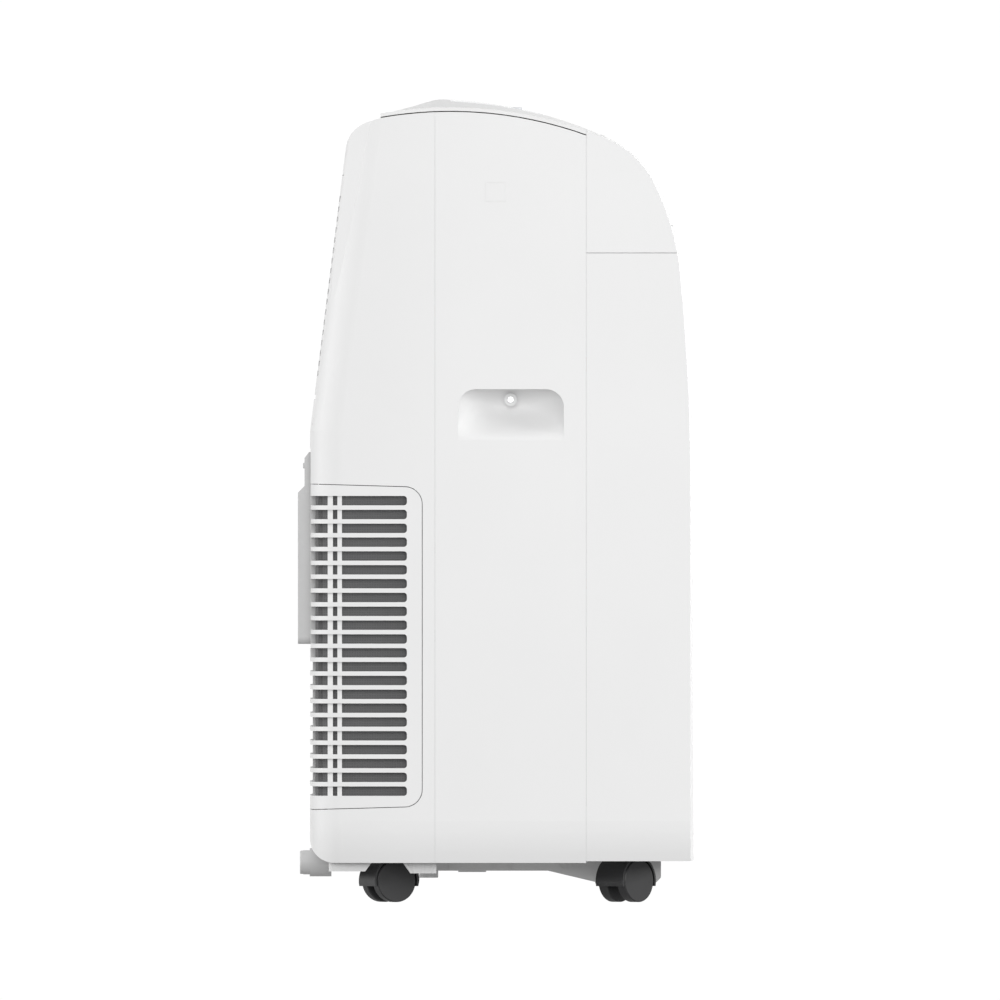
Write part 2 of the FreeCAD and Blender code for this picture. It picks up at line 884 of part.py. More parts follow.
def louver_blade():
    gap = math.degrees(size("louver_gap") / 98)
    plate = common(shell, sector(hinge_heading, size("louver_end") - gap, size("louver_half - louver_gap")))
    barrel = rod("x", "barrel_radius", either_side("louver_half - louver_gap"), (hinge_y, hinge_z))
    pins = rod("x", "pin_radius", either_side("louver_half + 6"), (hinge_y, hinge_z))
    return fuse(plate, barrel, pins)


def front_panel():
    reach = box(WIDE, ("-250", "seam_front - seam / 2"), ("front_bottom", "front_split - split_gap / 2"))
    return common(shell, reach)


part("upper_front_frame", upper_front_frame())
part("louver_blade", louver_blade())
part("front_panel", front_panel())


# ---------------------------------------------------------------- outlet duct, vanes and upper blower

VANES = 5


def vane_x(number):
    return "vane_pitch * %d" % (number - 2)


def outlet_duct():
    """Rectangular tube from the blower to the louver, drilled for the vane pivots."""
    long = ("duct_front", "duct_rear")
    outside = box(either_side("duct_half + wall"), long, either_side("duct_rise + wall"))
    inside = box(either_side("duct_half"), grown(long, "5"), either_side("duct_rise"))
    holes = [rod("z", "pin_radius + pin_play", either_side("duct_rise + 9"), (vane_x(n), "vane_pivot"))
             for n in range(VANES)]
    return in_duct_frame(cut(outside, inside, *holes))


def vane(number):
    """Upright vane that swings on two pins, with a peg below for the link."""
    item = body()
    drawing = sketch(item, "XY_Plane", "-duct_rise + 5")
    rectangle(drawing, ("-0.9", "0.9"), ("vane_front", "vane_rear"))
    pad(item, drawing, "2 * duct_rise - 6")
    drawing = sketch(item, "XY_Plane", "-duct_rise - wall")
    circle(drawing, "pin_radius")
    pad(item, drawing, "2 * (duct_rise + wall)")
    drawing = sketch(item, "XY_Plane", "-duct_rise + 1.5")
    circle(drawing, "1.5", "0", "link_arm")
    pad(item, drawing, "6")
    turn = Rotation(Vector(1, 0, 0), size("duct_tilt"))
    item.Placement = Placement(Vector(), turn)
    bind(item, "Placement.Base.x", vane_x(number))
    bind(item, "Placement.Base.y", "brow_y + vane_pivot * cos(duct_tilt)")
    bind(item, "Placement.Base.z", "brow_z + vane_pivot * sin(duct_tilt)")
    return item


def vane_link():
    """Flat bar that ties the vanes together through slotted holes."""
    y = ("vane_pivot + link_arm - 8", "vane_pivot + link_arm + 6")
    bar = box(either_side("2 * vane_pitch + 8"), y, ("-duct_rise + 1", "-duct_rise + 4"))
    slots = []
    for number in range(VANES):
        slot_y = ("vane_pivot + link_arm - 4.4", "vane_pivot + link_arm + 2.2")
        slots.append(box(around(vane_x(number), "2.3"), slot_y, ("-duct_rise", "-duct_rise + 5")))
    return in_duct_frame(cut(bar, *slots))


def blower_housing():
    """Box round the cross-flow wheel, open behind for the evaporator's air."""
    rise = "blower_radius + 5"
    long = ("duct_rear + 0.4", "blower_out + blower_radius + 4")
    outside = box(either_side("blower_half + 3 + wall"), long, either_side(rise + " + wall"))
    inside = box(either_side("blower_half + 3"), ("duct_rear + 0.4 + wall", "200"), either_side(rise))
    mouth = box(either_side("duct_half - 14"), ("0", "20"), either_side("duct_rise"))
    bush = rod("x", "4.06", ("-200", "0"), ("blower_out", "0"))
    neck = rod("x", "9", ("0", "200"), ("blower_out", "0"))
    return in_duct_frame(cut(outside, inside, mouth, bush, neck))


def blower_place(item):
    bind(item, "Placement.Base.y", "brow_y + blower_out * cos(duct_tilt)")
    bind(item, "Placement.Base.z", "brow_z + blower_out * sin(duct_tilt)")
    return item


def blower_wheel():
    """Cross-flow wheel: a ring of long blades between discs on one shaft."""
    item = body()
    drawing = sketch(item, "YZ_Plane")
    circle(drawing, "blower_radius")
    pad(item, drawing, "3", both_ways=True)
    for offset in ("-blower_half", "blower_half - 2.5"):
        drawing = sketch(item, "YZ_Plane", offset)
        circle(drawing, "blower_radius")
        pad(item, drawing, "2.5")
    drawing = sketch(item, "YZ_Plane", "-blower_half - 6")
    circle(drawing, "4")
    pad(item, drawing, "2 * blower_half + 14")
    drawing = sketch(item, "YZ_Plane", "-blower_half")
    polygon(drawing, ("blower_radius - 10", "-2.4"),
            ("blower_radius - 0.6", "1.2"), ("blower_radius - 0.6", "2.6"),
            ("blower_radius - 10", "-1.0"))
    blade = pad(item, drawing, "2 * blower_half")
    doc.recompute()
    ring = item.newObject("PartDesign::PolarPattern", "Blades")
    ring.Originals = [blade]
    ring.Axis = (next(ref for ref in item.Origin.OriginFeatures if ref.Role == "X_Axis"), [""])
    ring.Angle = 360.0
    ring.Occurrences = 24
    item.Tip = ring
    return blower_place(item)


def blower_motor():
    item = body()
    drawing = sketch(item, "YZ_Plane", "blower_half + 10")
    circle(drawing, "27")
    pad(item, drawing, "28")
    round_off(item, "3", lambda edge: edge.BoundBox.XMin > size("blower_half + 37"))
    drawing = sketch(item, "YZ_Plane", "blower_half + 10")
    rectangle(drawing, ("-36", "36"), ("-6", "6"))
    pad(item, drawing, "3")
    return blower_place(item)


part("outlet_duct", outlet_duct())
for number in range(VANES):
    part("vane_%d" % (number + 1), vane(number))
part("vane_link", vane_link())
part("blower_housing", blower_housing())
part("blower_wheel", blower_wheel())
part("blower_motor", blower_motor())


# ---------------------------------------------------------------- rear casing, grilles and exhaust

def rear_profile(limits, flare, corner, half):
    """A block in side view whose top and bottom open a little towards the rear."""
    front, low, high = limits
    left = -half
    rear = 220.0
    spread = flare * (rear - front) / (size("rear_face") - size("grille_front"))
    corners = [(Vector(left, front, low), corner), (Vector(left, rear, low - spread), 0),
               (Vector(left, rear, high + spread), 0), (Vector(left, front, high), corner)]
    return free_form(Part.Face(rounded_outline(corners)).extrude(Vector(2 * half, 0, 0)), "GrilleSpace")


def grille_space(grow):
    limits = (size("grille_front") - grow, size("grille_bottom") - grow, size("grille_top") + grow)
    return rear_profile(limits, size("grille_flare"), size("grille_corner") + grow, 200.0)


notch_x = either_side("notch_half")
filter_hinge_z = "filter_bottom + barrel_radius + open_gap"
filter_hinge_y = "153.6"


def exhaust_seat():
    """Recessed plate behind the exhaust frame, joined to the casing above it."""
    plate_z = ("notch_bottom + 1", "notch_top + 4")
    plate = box(grown(notch_x, "-1"), ("exhaust_seat - wall", "exhaust_seat"), plate_z)
    roof = box(grown(notch_x, "-1"), ("exhaust_seat - wall", "rear_face - wall / 2"),
               ("notch_top", "notch_top + 4"))
    return cut(fuse(plate, common(roof, outer_form)),
               rod("y", "exhaust_bore + 2", ("100", "200"), ("0", "exhaust_z")))


def rear_surface(x, z):
    """Depth of the casing's rear surface at a point of the rear view."""
    line = Part.makeLine(Vector(x, 90, z), Vector(x, 220, z))
    return line.common(outer_form.Shape).BoundBox.YMax


SCREW_SPOTS = [(x, z, rear_surface(x, z))
               for x, z in ((-132, 420), (132, 420), (-112, 652), (112, 652), (-100, 70), (60, 70))]


def rear_screw(x, z, face):
    """Self-tapping screw sunk in the rear casing."""
    head = rod("y", "3.6", (face - 4, face - 1.6), (x, z))
    shank = rod("y", "1.6", (face - 11, face - 4), (x, z))
    return fuse(head, shank)


def screw_boss(x, z, face):
    """Solid behind the rear wall that a screw is driven through."""
    return common(rod("y", "6.2", (face - 8, face + 2), (x, z)), outer_form)


def screw_bore(x, z, face):
    return fuse(rod("y", "3.9", (face - 4, face + 5), (x, z)), rod("y", "1.7", (face - 20, face), (x, z)))


GLAND_SPOT = (120, 69)
GLAND_FACE = rear_surface(*GLAND_SPOT)


def rear_casing():
    reach = box(WIDE, ("seam_rear + seam / 2", "250"), TALL)
    above = common(above_side_edge("rim_height + open_gap"), box(WIDE, DEEP, ("500", "800")))
    upper = box(either_side("filter_half"), ("100", "250"), ("filter_bottom", "filter_top"))
    notch = box(notch_x, ("100", "250"), ("notch_bottom", "notch_top"))
    ear_x = ("filter_half + 0.01", "filter_half + 8")
    right = ear(ear_x, filter_hinge_y, filter_hinge_z, "5")
    hole = rod("x", "pin_radius + pin_play", either_side("filter_half + 9"), (filter_hinge_y, filter_hinge_z))
    drain = rod("y", "drain_collar + 0.6", ("120", "200"), ("drain_x", "drain_z"))
    gland = fuse(rod("y", "gland_radius + 0.2", (GLAND_FACE - 1.2, "200"), GLAND_SPOT),
                 rod("y", "gland_neck + 0.2", ("120", "200"), GLAND_SPOT))
    base = cut(common(shell, reach), above, grille_space(size("grille_gap")), upper, notch)
    skirt = box(grown(either_side("skirt_outer"), "0.8"), ("100", "base_rear + 1"), ("0", "case_bottom + 8"))
    bosses = [screw_boss(*spot) for spot in SCREW_SPOTS]
    bores = [screw_bore(*spot) for spot in SCREW_SPOTS]
    return cut(fuse(base, right, mirrored(right), exhaust_seat(), *bosses), hole, drain, gland, skirt, *bores)


SLOTS = 22


def lower_slots():
    """The 22 side slots that run round both rear corners."""
    tools = []
    front = size("slot_front") + 0.1

    def at_the_front(edge):
        return edge.BoundBox.YMax < front and runs_along("x")(edge)

    for number in range(SLOTS):
        middle = "slot_first + slot_pitch * %d" % number
        block = box(WIDE, ("slot_front", "220"), around(middle, "slot_height / 2"))
        tools.append(rounded(block, "slot_corner", at_the_front))
    keep = box(either_side("notch_half + 9"), ("100", "260"), ("notch_bottom - 9", "800"))
    return cut(fuse(*tools), keep)


def lower_intake_grille():
    """Grille that wraps both rear corners, with upright ribs behind its bars."""
    notch = box(notch_x, ("100", "250"), ("notch_bottom", "800"))
    panel = cut(common(shell, grille_space(0.0)), notch)
    back = skin_between("wall - 0.1", "wall + 3")
    upright = ("grille_bottom + 4", "grille_top - 4")
    spans = []
    for y in (("142.3", "146.9"), ("134.4", "138.4")):
        side_rib = box(("120", "200"), y, upright)
        spans += [side_rib, mirrored(side_rib)]
    for middle, top in (("0", "notch_bottom - 2"), ("46", "notch_bottom - 2"), ("-46", "notch_bottom - 2"),
                        ("102", "grille_top - 4"), ("-102", "grille_top - 4")):
        spans.append(box(around(middle, "1.8"), ("145", "200"), ("grille_bottom + 4", top)))
    return fuse(cut(panel, lower_slots()), common(back, fuse(*spans)))


def lower_filter():
    """Mesh filter a few millimetres inside the grille, with a frame edge at both corners."""
    edge = box(("147", "158"), ("150", "200"), TALL)
    frame = common(skin_between("wall + 0.3", "wall + 5"), fuse(edge, mirrored(edge)))
    skin = fuse(skin_between("wall + 3.5", "wall + 5"), frame)
    space = rear_profile((size("grille_front") + 8, size("grille_bottom") + 4, size("grille_top") - 4),
                         0.0, 4.0, 200.0)
    notch = box(either_side("notch_half + 4"), ("100", "250"), ("notch_bottom - 6", "800"))
    return cut(common(skin, space), notch)


def exhaust_frame():
    """Hose adaptor: a thin upper plate and a thick collar with the round port."""
    item = body()
    drawing = sketch(item, "YZ_Plane")
    polygon(drawing, ("exhaust_seat + 0.3", "exhaust_bottom"), ("exhaust_face", "exhaust_bottom"),
            ("exhaust_face", "exhaust_collar_top"), ("exhaust_plate", "exhaust_collar_top + 6"),
            ("exhaust_plate", "exhaust_top - 5.2"), ("exhaust_plate - 4", "exhaust_top"),
            ("exhaust_seat + 0.3", "exhaust_top"))
    pad(item, drawing, "2 * exhaust_half", both_ways=True)
    round_off(item, "6", runs_along_y_outer)
    drawing = sketch(item, "XZ_Plane")
    circle(drawing, "exhaust_bore", "0", "exhaust_z")
    pocket(item, drawing, "250", backwards=False)
    drawing = sketch(item, "XZ_Plane")
    rectangle(drawing, ("-9", "9"), ("373", "387"))
    pocket(item, drawing, "250", backwards=False)
    return item


def runs_along_y_outer(edge):
    """The level edges of the exhaust frame's two lower corners."""
    return runs_along("y")(edge) and edge.BoundBox.ZMax < size("exhaust_bottom") + 1


def exhaust_latch():
    """Finger latch that slides down in its window to let the adaptor go."""
    slide = box(("-8.5", "8.5"), ("exhaust_seat + 1", "exhaust_plate - 0.5"), ("376.4", "386.6"))
    grip = box(("-6", "6"), ("exhaust_plate - 0.5", "exhaust_plate + 1.7"), ("379", "384"))
    return fuse(slide, rounded(grip, "0.8", lambda edge: edge.BoundBox.YMin > size("exhaust_plate + 1.6")))


def upper_intake_grille():
    """Tilting grille over the evaporator, hinged along its lower edge."""
    inside = either_side("filter_half - open_gap")
    window = box(inside, ("100", "250"), (filter_hinge_z, "filter_top - open_gap"))
    plate = common(shell, window)
    slots = []
    count = 18
    for number in range(count):
        middle = "filter_bottom + 22 + filter_slot_pitch * %d" % number
        height = around(middle, "filter_slot_height / 2")
        slots.append(box(either_side("filter_slot_half"), ("100", "250"), height))
    posts = [box(around(middle, "2"), ("90", "260"), TALL) for middle in ("0", "-54", "54")]
    barrel = rod("x", "barrel_radius", inside, (filter_hinge_y, filter_hinge_z))
    pins = rod("x", "pin_radius", either_side("filter_half + 7"), (filter_hinge_y, filter_hinge_z))
    return fuse(cut(plate, cut(fuse(*slots), *posts)), barrel, pins)


def upper_filter():
    skin = skin_between("wall + 2", "wall + 4")
    frame = box(either_side("filter_half - 9"), ("100", "250"), ("filter_bottom + 12", "filter_top - 8"))
    return common(skin, frame)


part("rear_casing", rear_casing())
part("lower_intake_grille", lower_intake_grille())
part("lower_filter", lower_filter())
part("exhaust_frame", exhaust_frame())
part("exhaust_latch", exhaust_latch())
part("upper_intake_grille", upper_intake_grille())
part("upper_filter", upper_filter())

part("rear_screws", fuse(*[rear_screw(*spot) for spot in SCREW_SPOTS]))


# ---------------------------------------------------------------- base and drain

SLED_RIBS = (("40.3", "40.3"), ("1.3", "1.3"), ("-12.5", "-12.5"),
             ("-52.5", "-58.5"), ("-59.8", "-61.6"), ("-66", "-65.4"), ("-74", "-69.5"))
SKIRT_RIBS = (("79", "73.6"), ("71.8", "70.8"), ("63.6", "63.6"), ("53.4", "57.6"))


def leaning_ribs(spots, half, low):
    """Thin ribs across the machine, each leaning from its upper to its lower place."""
    ribs = []
    for upper, lower in spots:
        item = body("Rib")
        drawing = sketch(item, "YZ_Plane")
        polygon(drawing,
                ("(%s) - rib_half" % upper, "case_bottom"), ("(%s) + rib_half" % upper, "case_bottom"),
                ("(%s) + rib_half" % lower, low), ("(%s) - rib_half" % lower, low))
        pad(item, drawing, "2 * (%s + rib_relief)" % half, both_ways=True)
        ribs.append(item)
    return ribs


def sled():
    """Deeper middle of the base between the casters, ribbed outside and hollow inside."""
    item = body("Sled")
    drawing = sketch(item, "YZ_Plane")
    polygon(drawing, ("base_rear", "floor_z + 1"), ("base_rear", "sled_bottom"), ("-45.6", "sled_bottom"),
            ("-86.8", "17.2"), ("-138", "14.5"), ("-144.5", "21"), ("-144.5", "floor_z + 1"))
    pad(item, drawing, "2 * sled_half", both_ways=True)
    round_off(item, "3", lambda edge: runs_along("x")(edge) and edge.BoundBox.ZMax < size("sled_bottom + 1"))
    return fuse(item, *leaning_ribs(SLED_RIBS, "sled_half", "sled_bottom + 1.2"))


def sled_hollow():
    item = body("SledHollow")
    drawing = sketch(item, "YZ_Plane")
    polygon(drawing, ("base_rear - sled_wall", "floor_z + 5"), ("base_rear - sled_wall", "sled_bottom + 3"),
            ("-46.2", "sled_bottom + 3"), ("-87.2", "20.3"), ("-136.5", "17.7"), ("-141.5", "22.5"),
            ("-141.5", "floor_z + 5"))
    pad(item, drawing, "2 * (sled_half - sled_wall)", both_ways=True)
    return item


def skirt():
    """Wall that hangs outside the rear casters, with a notch over each for the wheels."""
    item = body("Skirt")
    drawing = sketch(item, "YZ_Plane")
    polygon(drawing, ("base_rear", "floor_z + 1"), ("base_rear", "sled_bottom"),
            ("notch_y + notch_foot", "sled_bottom"), ("notch_y + notch_head", "notch_rise"),
            ("notch_y - notch_head", "notch_rise"), ("notch_y - notch_foot - 0.9", "skirt_low"),
            ("skirt_front", "skirt_low"), ("skirt_front", "floor_z + 1"))
    pad(item, drawing, "2 * skirt_outer", both_ways=True)
    rear = size("base_rear") - 1
    round_off(item, "skirt_corner", lambda edge: runs_along("z")(edge) and edge.BoundBox.YMin > rear)
    inside = box(either_side("skirt_inner"), ("0", "base_rear - wall"), ("0", "floor_z"))
    return cut(fuse(item, *leaning_ribs(SKIRT_RIBS, "skirt_outer", "skirt_low")), inside)


def base_pan():
    """Moulded base: a tray, the sled and skirt under it, and the drain spout."""
    floor = ("floor_z", "floor_z + 3")
    tray = box(either_side("base_half"), ("base_front", "base_rear"), ("floor_z", "base_rim"))
    well = box(either_side("base_half - wall"), ("base_front + wall", "base_rear - wall"),
               (floor[1], "base_rim + 1"))
    bosses = [rod("z", "8.2", ("20.6", "sled_bottom + 4"), (x, "58.8")) for x in ("-50", "50")]
    bosses.append(box(("-30", "30"), ("8.6", "33"), ("25.4", "sled_bottom + 4")))
    spout = rod("y", "drain_radius", ("base_rear - 2", "drain_end"), ("drain_x", "drain_z"))
    collar = rod("y", "drain_collar", ("base_rear - 2", "rear_face"), ("drain_x", "drain_z"))
    drain = rod("y", "drain_radius - 3.4", ("base_rear - 8", "drain_end + 1"), ("drain_x", "drain_z"))
    sockets = [rod("z", "stem_radius + 3", ("floor_z - 2", "floor_z + 12"), spot) for spot in CASTER_STEMS]
    bores = [rod("z", "stem_radius + 0.01", ("floor_z - 3", "floor_z + 9"), spot) for spot in CASTER_STEMS]
    solid = cut(fuse(tray, sled(), skirt()), well, sled_hollow())
    return cut(fuse(solid, collar, spout, *(bosses + sockets)), drain, *bores)


CASTERS = (
    ("front_left", -1, "caster_front_y", "caster_front_yaw"),
    ("front_right", 1, "caster_front_y", "-caster_front_yaw"),
    ("rear_left", -1, "caster_rear_y", "caster_rear_yaw"),
    ("rear_right", 1, "caster_rear_y", "-caster_rear_yaw"),
)


def stem_spot(side, y, yaw):
    """Plan position of the swivel axis: the wheels trail behind it."""
    x = "%d * caster_x + caster_trail * sin(%s)" % (side, yaw)
    return (x, "%s - caster_trail * cos(%s)" % (y, yaw))


CASTER_STEMS = [stem_spot(side, y, yaw) for name, side, y, yaw in CASTERS]


def drain_plug():
    """Stopper for the drain spout, pushed in from behind."""
    head = rod("y", "drain_radius - 0.4", ("drain_end", "drain_face"), ("drain_x", "drain_z"))
    stopper = cone("y", ("drain_radius - 4.4", "drain_radius - 3.5"), ("drain_end - 14", "drain_end"),
                   ("drain_x", "drain_z"))
    return fuse(rounded(head, "0.8", lambda edge: edge.BoundBox.YMin > size("drain_face - 0.1")), stopper)


def cord_gland():
    """Bush set into the rear wall that the supply cord leaves through."""
    flange = rod("y", "gland_radius", (GLAND_FACE - 1.2, GLAND_FACE + 0.1), GLAND_SPOT)
    neck = rod("y", "gland_neck", (GLAND_FACE - 9, GLAND_FACE - 1), GLAND_SPOT)
    return cut(fuse(flange, neck), rod("y", "cord_radius", ("100", "200"), GLAND_SPOT))


part("base_pan", base_pan())
part("drain_plug", drain_plug())
part("cord_gland", cord_gland())


# ---------------------------------------------------------------- casters

def turned_caster(item, side, y, yaw):
    """Stand a caster piece, built about its swivel axis, at its place and yaw."""
    x, along = stem_spot(side, y, yaw)
    item.Placement = Placement(Vector(), Rotation(Vector(0, 0, 1), size(yaw)))
    bind(item, "Placement.Base.x", x)
    bind(item, "Placement.Base.y", along)
    return item


def caster_housing():
    """Hood over twin wheels with a middle web that holds the axle, and a socket for the stem."""
    wheel = ("caster_trail", "wheel_radius")
    hood = cut(rod("x", "hood_radius", either_side("hood_half"), wheel),
               rod("x", "hood_inner", either_side("hood_half + 1"), wheel))
    web = rod("x", "hood_inner + 0.5", either_side("web_half"), wheel)
    below = box(either_side("40"), either_side("60"), ("-20", "hood_edge"))
    boss = common(rod("z", "boss_radius", ("wheel_radius + 4", "caster_top"), ("0", "0")),
                  box(either_side("boss_radius"), either_side("20"), ("0", "caster_top")))
    room = rod("x", "hood_inner", ("wheel_inner - 0.5", "hood_half"), wheel)
    boss = cut(boss, room, mirrored(room))
    axle = rod("x", "axle_radius", either_side("wheel_inner + wheel_width - wheel_cap - 0.4"), wheel)
    socket = rod("z", "stem_radius + stem_play", ("wheel_radius + 12", "60"), ("0", "0"))
    return cut(fuse(cut(fuse(hood, web), below), boss, axle), socket)


def caster_wheel(outward):
    """One wheel of the pair: a smooth disc whose outer face closes its own axle bore."""
    item = body()
    drawing = sketch(item, "XZ_Plane")
    outer = "wheel_inner + wheel_width"
    bore = "axle_radius + axle_play"
    polygon(drawing, ("wheel_inner", bore), (outer + " - wheel_cap", bore), (outer + " - wheel_cap", "0"),
            (outer, "0"), (outer, "wheel_radius - wheel_edge"), (outer + " - wheel_edge", "wheel_radius"),
            ("wheel_inner + wheel_edge", "wheel_radius"), ("wheel_inner", "wheel_radius - wheel_edge"))
    revolution(item, drawing, "H_Axis")
    result = doc.addObject("Part::Compound", "Wheel")
    result.Links = [item]
    if outward < 0:
        item.Placement = Placement(Vector(), Rotation(Vector(0, 0, 1), 180))
    bind(item, "Placement.Base.y", "caster_trail")
    bind(item, "Placement.Base.z", "wheel_radius")
    return result


def caster_stems():
    """Steel pins pressed into the base that the casters swivel on."""
    pins = [rod("z", "stem_radius", ("wheel_radius + 13", "floor_z + 8"), spot) for spot in CASTER_STEMS]
    collars = [rod("z", "7", ("caster_top + 0.5", "caster_top + 3"), spot) for spot in CASTER_STEMS]
    return fuse(*(pins + collars))


part("caster_stems", caster_stems())
for name, side, y, yaw in CASTERS:
    part("caster_%s_housing" % name, turned_caster(caster_housing(), side, y, yaw))
    part("caster_%s_wheel_left" % name, turned_caster(caster_wheel(-1), side, y, yaw))
    part("caster_%s_wheel_right" % name, turned_caster(caster_wheel(1), side, y, yaw))


# ---------------------------------------------------------------- cooling parts

DECK = ("394.5", "397.5")
PIPE_SPOTS = (("146", "-60"), ("146", "-86"))


def middle_deck():
    """Plate between the warm lower half and the cold upper half."""
    plate = box(either_side("case_half - wall - 0.6"), ("-162", "156"), DECK)
    inside = free_form(casing_form(size("wall + 0.5")))
    holes = [rod("z", "9", ("380", "420"), spot) for spot in PIPE_SPOTS]
    return cut(common(plate, inside), rod("z", "20", ("380", "420"), ("-120", "-90")), *holes)


def leaning_box(x, y, z, lean):
    """A block that leans forward with the rear slope."""
    item = doc.addObject("Part::Box", "Leaning")
    bind(item, "Length", "(%s) - (%s)" % (x[1], x[0]))
    bind(item, "Width", "(%s) - (%s)" % (y[1], y[0]))
    bind(item, "Height", "(%s) - (%s)" % (z[1], z[0]))
    item.Placement = Placement(Vector(size(x[0]), size(y[0]), size(z[0])), Rotation(Vector(1, 0, 0), lean))
    return item


def evaporator_coil():
    return leaning_box(("-136", "136"), ("96", "118"), ("432", "642"), 7.1)


def condenser_coil():
    """U-shaped finned coil behind the lower grille, cut away round the exhaust duct."""
    item = body()
    drawing = sketch(item, "XY_Plane", "62")
    polygon(drawing, ("-156", "62"), ("-156", "126"), ("-140", "142"), ("140", "142"), ("156", "126"),
            ("156", "62"), ("143", "62"), ("143", "120"), ("134", "129"), ("-134", "129"), ("-143", "120"),
            ("-143", "62"))
    pad(item, drawing, "298")
    return cut(item, box(either_side("notch_half - 4"), ("100", "200"), ("notch_bottom - 8", "400")))


SCROLL = ("40", "271")


def exhaust_scroll():
    """Snail-shaped fan housing that blows out through the rear port."""
    width = "52"
    outlet = ("exhaust_z - exhaust_bore", "exhaust_z + exhaust_bore")
    outside = fuse(rod("x", "85 + wall", either_side(width + " + wall"), SCROLL),
                   box(either_side(width + " + wall"), ("40", "exhaust_seat - wall - 0.6"),
                       grown(outlet, "wall")))
    inside = fuse(rod("x", "85", either_side(width), SCROLL), box(either_side(width), ("40", "200"), outlet))
    return cut(outside, inside, rod("x", "46", either_side("80"), SCROLL))


def condenser_fan_wheel():
    """Double-inlet fan: blades between two rings on a middle disc."""
    item = body()
    drawing = sketch(item, "YZ_Plane")
    circle(drawing, "68")
    pad(item, drawing, "2.5", both_ways=True)
    for offset in ("-42", "40"):
        drawing = sketch(item, "YZ_Plane", offset)
        circle(drawing, "68")
        circle(drawing, "56")
        pad(item, drawing, "2")
    drawing = sketch(item, "YZ_Plane", "-20")
    circle(drawing, "9")
    pad(item, drawing, "40")
    drawing = sketch(item, "YZ_Plane", "-42")
    polygon(drawing, ("56.4", "-3"), ("67.6", "2"), ("67.6", "3.6"), ("56.4", "-1.4"))
    blade = pad(item, drawing, "84")
    doc.recompute()
    ring = item.newObject("PartDesign::PolarPattern", "Blades")
    ring.Originals = [blade]
    ring.Axis = (next(ref for ref in item.Origin.OriginFeatures if ref.Role == "X_Axis"), [""])
    ring.Angle = 360.0
    ring.Occurrences = 30
    item.Tip = ring
    bind(item, "Placement.Base.y", SCROLL[0])
    bind(item, "Placement.Base.z", SCROLL[1])
    return item


def condenser_fan_motor():
    """Motor beside the scroll with three arms to the housing and its shaft end."""
    can = rod("x", "36", ("-112", "-66"), SCROLL)
    soft = rounded(can, "4", lambda edge: True)
    arms = [box(("-66", "-55"), around("40", "4"), ("271 + 26", "271 + 60")),
            box(("-66", "-55"), around("40", "4"), ("271 - 60", "271 - 26"))]
    plate = cut(rod("x", "60", ("-70", "-66"), SCROLL), rod("x", "30", ("-80", "-60"), SCROLL),
                box(("-80", "-60"), ("-40", "34"), TALL), box(("-80", "-60"), ("46", "120"), TALL))
    shaft = rod("x", "4", ("-67", "-21"), SCROLL)
    return fuse(soft, shaft, plate, *arms)


COMPRESSOR = ("88", "-92")


def compressor():
    """Hermetic rotary compressor: a drum with domed ends and its accumulator."""
    item = body()
    drawing = sketch(item, "XZ_Plane")
    polygon(drawing, ("0", "70"), ("40", "70"), ("50", "80"),
            ("50", "218"), ("42", "232"), ("18", "240"), ("0", "240"))
    revolution(item, drawing, "V_Axis")
    bind(item, "Placement.Base.x", COMPRESSOR[0])
    bind(item, "Placement.Base.y", COMPRESSOR[1])
    plate = cut(box(("34", "142"), ("-146", "-38"), ("66", "70.5")),
                *[rod("z", "5.3", ("60", "80"), spot) for spot in COMPRESSOR_FEET])
    tank = rounded(rod("z", "17", ("110", "215"), ("16", "-92")), "6", lambda edge: True)
    strap = box(("20", "44"), ("-96", "-88"), ("150", "156"))
    return fuse(item, plate, tank, strap)


COMPRESSOR_FEET = (("46", "-137"), ("129", "-137"), ("46", "-50"), ("129", "-50"))


def compressor_mounts():
    """Rubber grommets under the compressor's plate."""
    feet = [fuse(rod("z", "9", ("floor_z + 3", "66"), spot), rod("z", "5", ("66", "74"), spot))
            for spot in COMPRESSOR_FEET]
    return fuse(*feet)


def tube(radius, bend, spots):
    """A pipe of one radius along straight runs with rounded corners."""
    points = [Vector(*spot) for spot in spots]
    edges = []
    last = points[0]
    for before, point, after in zip(points, points[1:], points[2:]):
        back = (before - point).normalize()
        ahead = (after - point).normalize()
        half = back.getAngle(ahead) / 2
        reach = bend / math.tan(half)
        top = point + (back + ahead).normalize() * (bend / math.sin(half) - bend)
        edges.append(Part.makeLine(last, point + back * reach))
        edges.append(Part.Arc(point + back * reach, top, point + ahead * reach).toShape())
        last = point + ahead * reach
    edges.append(Part.makeLine(last, points[-1]))
    path = Part.Wire(edges)
    ring = Part.Wire(Part.makeCircle(radius, points[0], points[1] - points[0]))
    return free_form(path.makePipeShell([ring], True, True), "Pipe")


def refrigerant_pipes():
    """Copper lines between the compressor, the two coils and through the deck."""
    suction = tube(5.0, 16.0, [(16, -92, 215.5), (16, -92, 262), (60, -86, 290),
                               (146, -86, 330), (146, -86, 470),
                               (146, 60, 520), (146, 104, 520), (137, 104, 520)])
    liquid = tube(3.2, 12.0, [(149.5, 61.5, 300), (149.5, 20, 300), (146, -60, 330),
                              (146, -60, 450), (146, 60, 480),
                              (146, 107, 480), (137, 107, 480)])
    hot = tube(4.0, 14.0, [(88, -92, 240.5), (88, -92, 270), (120, -60, 290),
                           (149.5, 10, 260), (149.5, 61.5, 260)])
    return fuse(suction, liquid, hot)


